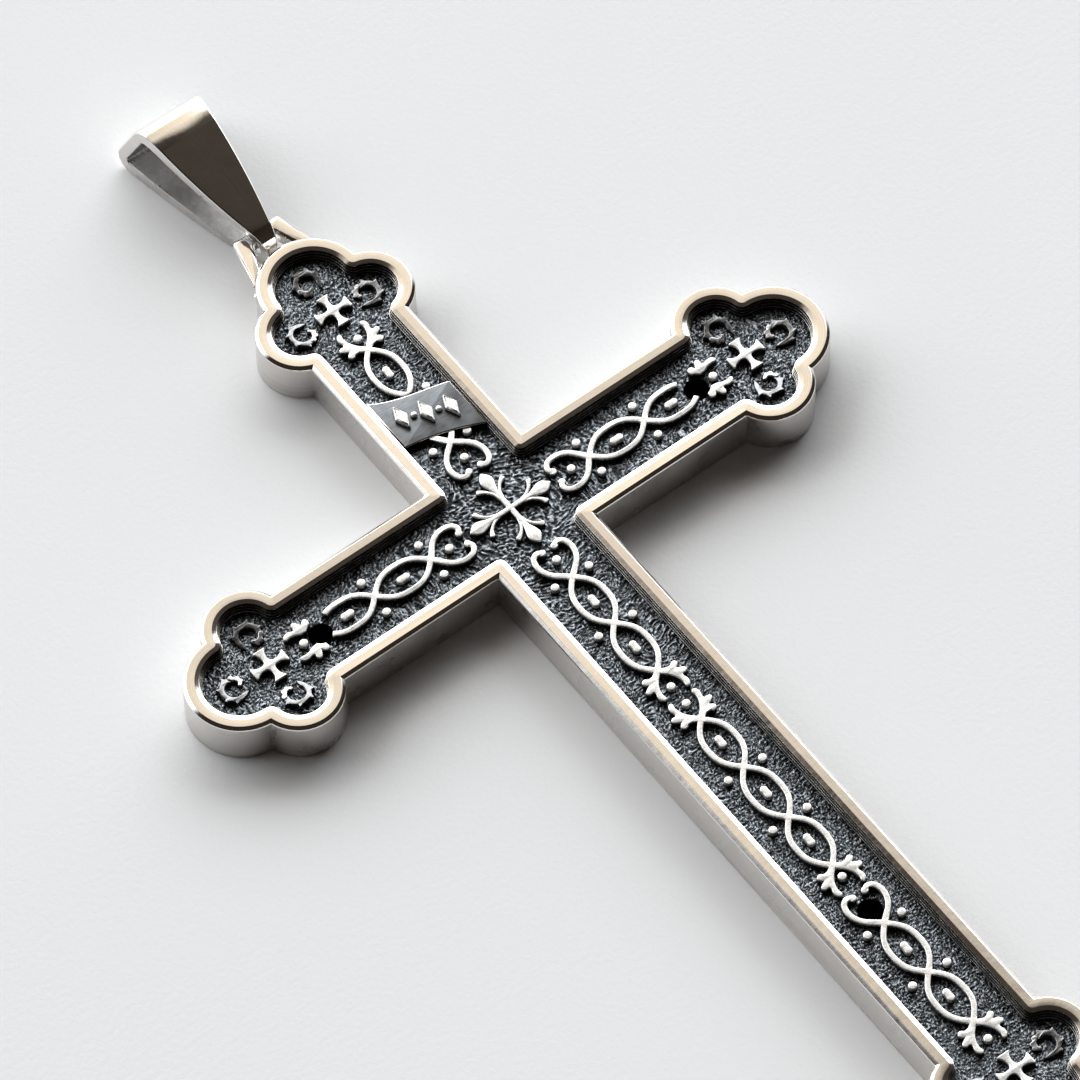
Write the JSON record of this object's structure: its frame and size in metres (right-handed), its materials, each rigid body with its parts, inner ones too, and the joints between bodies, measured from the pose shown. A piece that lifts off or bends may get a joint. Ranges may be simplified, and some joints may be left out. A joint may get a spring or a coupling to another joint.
{
  "type": "pendant cross",
  "caption": "Pendant cross with trefoil ends, stepped rim, relief scrollwork on a sunk oxidised ground, pin holes for a figure, lug and tapered bail.",
  "frame": {"origin": "on the flat back face, under the centre of the crossing", "axes": "+Y along the shaft towards the lug and bail, +X along the right arm, +Z out of the ornamented front"},
  "size_m": [0.042, 0.0806, 0.0041],
  "materials": {
    "polished_silver": "polished silver",
    "oxidised_ground": "oxidised silver, finely chased",
    "raised_silver": "polished relief with darkened edges",
    "satin_plaque": "satin silver, lightly oxidised"
  },
  "bodies": {
    "cross": {"cross_frame": "polished_silver", "field_plate": "oxidised_ground", "centre_fleuron": "raised_silver", "scroll_right": "raised_silver", "leaf_right_upper": "raised_silver", "leaf_right_lower": "raised_silver", "scroll_left": "raised_silver", "leaf_left_upper": "raised_silver", "leaf_left_lower": "raised_silver", "scroll_top_inner": "raised_silver", "scroll_top_outer": "raised_silver", "scroll_shaft_upper": "raised_silver", "scroll_shaft_middle": "raised_silver", "scroll_shaft_lower": "raised_silver", "patee_right": "raised_silver", "crescent_right_end": "raised_silver", "crescent_right_side_a": "raised_silver", "crescent_right_side_b": "raised_silver", "patee_left": "raised_silver", "crescent_left_end": "raised_silver", "crescent_left_side_a": "raised_silver", "crescent_left_side_b": "raised_silver", "patee_top": "raised_silver", "crescent_top_end": "raised_silver", "crescent_top_side_a": "raised_silver", "crescent_top_side_b": "raised_silver", "patee_foot": "raised_silver", "crescent_foot_end": "raised_silver", "crescent_foot_side_a": "raised_silver", "crescent_foot_side_b": "raised_silver", "plaque": "satin_plaque", "lozenge_1": "raised_silver", "lozenge_2": "raised_silver", "lozenge_3": "raised_silver", "top_lug": "polished_silver"},
    "bail": {"bail": "polished_silver"}
  },
  "joints": [
    {"name": "bail_swing", "type": "hinge", "parent": "cross", "child": "bail", "pos_m": [0, 0.02293, 0.00145], "axis": [1, 0, 0], "range_deg": [-105, 96]}
  ]
}
